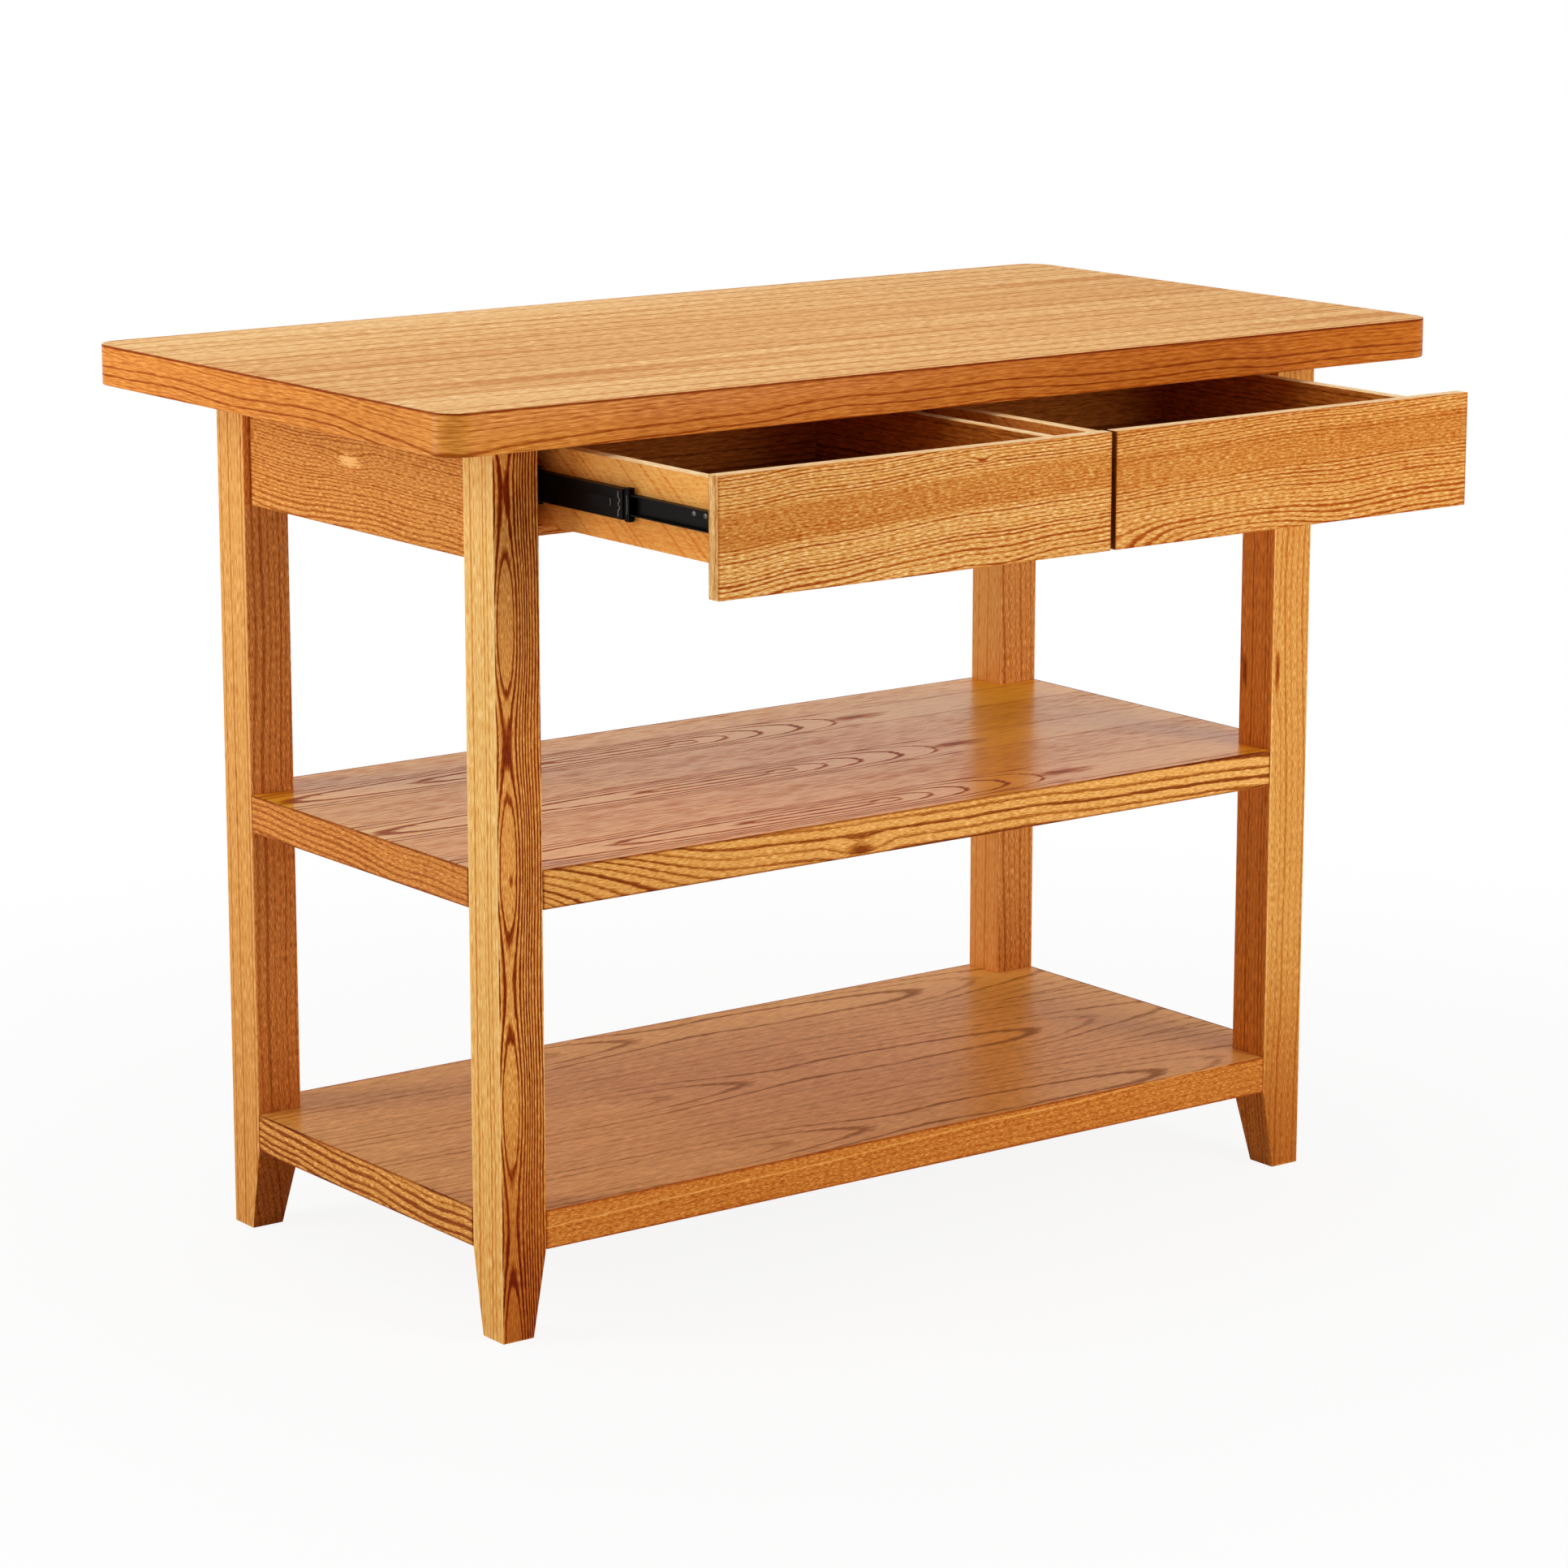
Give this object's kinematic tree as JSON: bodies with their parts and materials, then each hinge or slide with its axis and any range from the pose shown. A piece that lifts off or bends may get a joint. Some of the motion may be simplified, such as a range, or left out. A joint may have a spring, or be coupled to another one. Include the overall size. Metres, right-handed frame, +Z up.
{
  "type": "kitchen island",
  "caption": "Wooden kitchen island with an overhanging rounded-corner top, open shelves between square tapered legs, and handleless drawers on ball-bearing slides.",
  "frame": {"origin": "on the floor, under the middle of the whole island's box with its drawers pulled out as at rest", "axes": "+X along the island, to the right seen from the drawers' side; +Y from the drawers' side to the back; +Z up"},
  "size_m": [1.202, 0.8446, 0.9],
  "materials": {
    "top_wood": "satin lacquer, honey stain",
    "frame_wood": "satin lacquer, amber stain",
    "shelf_wood": "satin lacquer, honey stain",
    "front_wood": "satin lacquer, amber stain",
    "box_wood": "thin lacquer",
    "slide_steel": "black electrophoretic coat",
    "retainer_steel": "zinc plated",
    "stop_plastic": "moulded black"
  },
  "bodies": {
    "frame": {"top_slab": "top_wood", "front_left_leg": "frame_wood", "front_right_leg": "frame_wood", "back_left_leg": "frame_wood", "back_right_leg": "frame_wood", "left_apron": "frame_wood", "right_apron": "frame_wood", "back_apron": "frame_wood", "front_rail": "frame_wood", "left_slide_panel": "box_wood", "right_slide_panel": "box_wood", "drawer_divider": "box_wood", "middle_shelf_panel": "shelf_wood", "middle_shelf_front_edge": "front_wood", "middle_shelf_back_edge": "front_wood", "middle_shelf_left_edge": "front_wood", "middle_shelf_right_edge": "front_wood", "lower_shelf_panel": "shelf_wood", "lower_shelf_front_edge": "front_wood", "lower_shelf_back_edge": "front_wood", "lower_shelf_left_edge": "front_wood", "lower_shelf_right_edge": "front_wood", "left_drawer_left_slide_cabinet_member": "slide_steel", "left_drawer_right_slide_cabinet_member": "slide_steel", "right_drawer_left_slide_cabinet_member": "slide_steel", "right_drawer_right_slide_cabinet_member": "slide_steel"},
    "left_drawer": {"left_drawer_front": "front_wood", "left_drawer_left_side": "box_wood", "left_drawer_right_side": "box_wood", "left_drawer_back": "box_wood", "left_drawer_bottom": "box_wood", "left_drawer_left_slide_drawer_member": "slide_steel", "left_drawer_right_slide_drawer_member": "slide_steel"},
    "left_slide_middles": {"left_drawer_left_slide_middle_member": "slide_steel", "left_drawer_left_slide_end_stop": "stop_plastic", "left_drawer_right_slide_middle_member": "slide_steel", "left_drawer_right_slide_end_stop": "stop_plastic"},
    "left_outer_retainers": {"left_drawer_left_slide_outer_ball_retainer": "retainer_steel", "left_drawer_right_slide_outer_ball_retainer": "retainer_steel"},
    "left_inner_retainers": {"left_drawer_left_slide_inner_ball_retainer": "retainer_steel", "left_drawer_right_slide_inner_ball_retainer": "retainer_steel"},
    "right_drawer": {"right_drawer_front": "front_wood", "right_drawer_left_side": "box_wood", "right_drawer_right_side": "box_wood", "right_drawer_back": "box_wood", "right_drawer_bottom": "box_wood", "right_drawer_left_slide_drawer_member": "slide_steel", "right_drawer_right_slide_drawer_member": "slide_steel"},
    "right_slide_middles": {"right_drawer_left_slide_middle_member": "slide_steel", "right_drawer_left_slide_end_stop": "stop_plastic", "right_drawer_right_slide_middle_member": "slide_steel", "right_drawer_right_slide_end_stop": "stop_plastic"},
    "right_outer_retainers": {"right_drawer_left_slide_outer_ball_retainer": "retainer_steel", "right_drawer_right_slide_outer_ball_retainer": "retainer_steel"},
    "right_inner_retainers": {"right_drawer_left_slide_inner_ball_retainer": "retainer_steel", "right_drawer_right_slide_inner_ball_retainer": "retainer_steel"}
  },
  "joints": [
    {"name": "left_drawer_slide", "type": "slide", "parent": "frame", "child": "left_drawer", "axis": [0, -1, 0], "range_m": [-0.276, 0.124]},
    {"name": "left_middle_slide", "type": "slide", "parent": "frame", "child": "left_slide_middles", "axis": [0, -1, 0], "range_m": [-0.138, 0.062]},
    {"name": "left_outer_retainer_slide", "type": "slide", "parent": "frame", "child": "left_outer_retainers", "axis": [0, -1, 0], "range_m": [-0.069, 0.031]},
    {"name": "left_inner_retainer_slide", "type": "slide", "parent": "frame", "child": "left_inner_retainers", "axis": [0, -1, 0], "range_m": [-0.207, 0.093]},
    {"name": "right_drawer_slide", "type": "slide", "parent": "frame", "child": "right_drawer", "axis": [0, -1, 0], "range_m": [-0.276, 0.124]},
    {"name": "right_middle_slide", "type": "slide", "parent": "frame", "child": "right_slide_middles", "axis": [0, -1, 0], "range_m": [-0.138, 0.062]},
    {"name": "right_outer_retainer_slide", "type": "slide", "parent": "frame", "child": "right_outer_retainers", "axis": [0, -1, 0], "range_m": [-0.069, 0.031]},
    {"name": "right_inner_retainer_slide", "type": "slide", "parent": "frame", "child": "right_inner_retainers", "axis": [0, -1, 0], "range_m": [-0.207, 0.093]}
  ],
  "couplings": [
    {"joint": "left_middle_slide", "follows": "left_drawer_slide", "ratio": 0.5},
    {"joint": "left_outer_retainer_slide", "follows": "left_drawer_slide", "ratio": 0.25},
    {"joint": "left_inner_retainer_slide", "follows": "left_drawer_slide", "ratio": 0.75},
    {"joint": "right_middle_slide", "follows": "right_drawer_slide", "ratio": 0.5},
    {"joint": "right_outer_retainer_slide", "follows": "right_drawer_slide", "ratio": 0.25},
    {"joint": "right_inner_retainer_slide", "follows": "right_drawer_slide", "ratio": 0.75}
  ]
}
